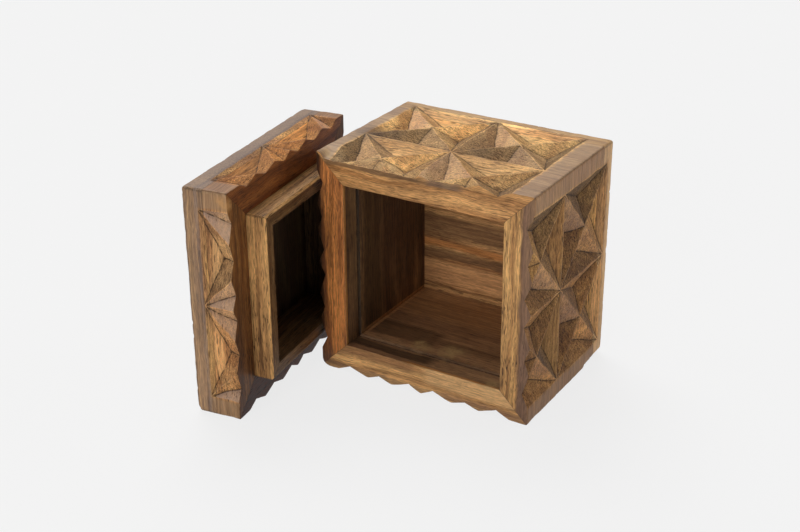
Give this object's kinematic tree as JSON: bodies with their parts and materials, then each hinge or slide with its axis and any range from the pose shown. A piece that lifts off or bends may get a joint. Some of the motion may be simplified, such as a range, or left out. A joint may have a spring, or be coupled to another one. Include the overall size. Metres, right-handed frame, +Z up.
{
  "type": "wooden puzzle box",
  "caption": "Cube-shaped keepsake box of mitred hardwood, carved with three-sided pits on every face, with a plug-fit lid stood on edge beside its open mouth.",
  "frame": {"origin": "on the table, under the middle of the box and its lid as they stand together", "axes": "+Z up; +Y into the box, from its mouth to its back; +X to the right as seen from in front of the mouth"},
  "size_m": [0.1346, 0.1312, 0.1],
  "materials": {
    "box_wood": "oiled brown hardwood with open pores",
    "top_wood": "oiled light brown hardwood with open pores",
    "end_wood": "oiled brown hardwood, waxed border",
    "lid_wood": "oiled brown hardwood with open pores",
    "plug_wood": "bare sanded hardwood"
  },
  "bodies": {
    "box": {"bottom_board": "box_wood", "top_board": "top_wood", "left_board": "box_wood", "right_board": "box_wood", "back_board": "end_wood"},
    "lid": {"lid_panel": "end_wood", "lid_rim_bottom": "lid_wood", "lid_rim_top": "lid_wood", "lid_rim_left": "lid_wood", "lid_rim_right": "lid_wood", "plug_bottom": "plug_wood", "plug_top": "plug_wood", "plug_left": "plug_wood", "plug_right": "plug_wood"}
  },
  "joints": [
    {"name": "lid_pull", "type": "slide", "parent": "box", "child": "lid", "axis": [-0.9925, -0.1219, 0], "range_m": [0, 0.06]}
  ]
}
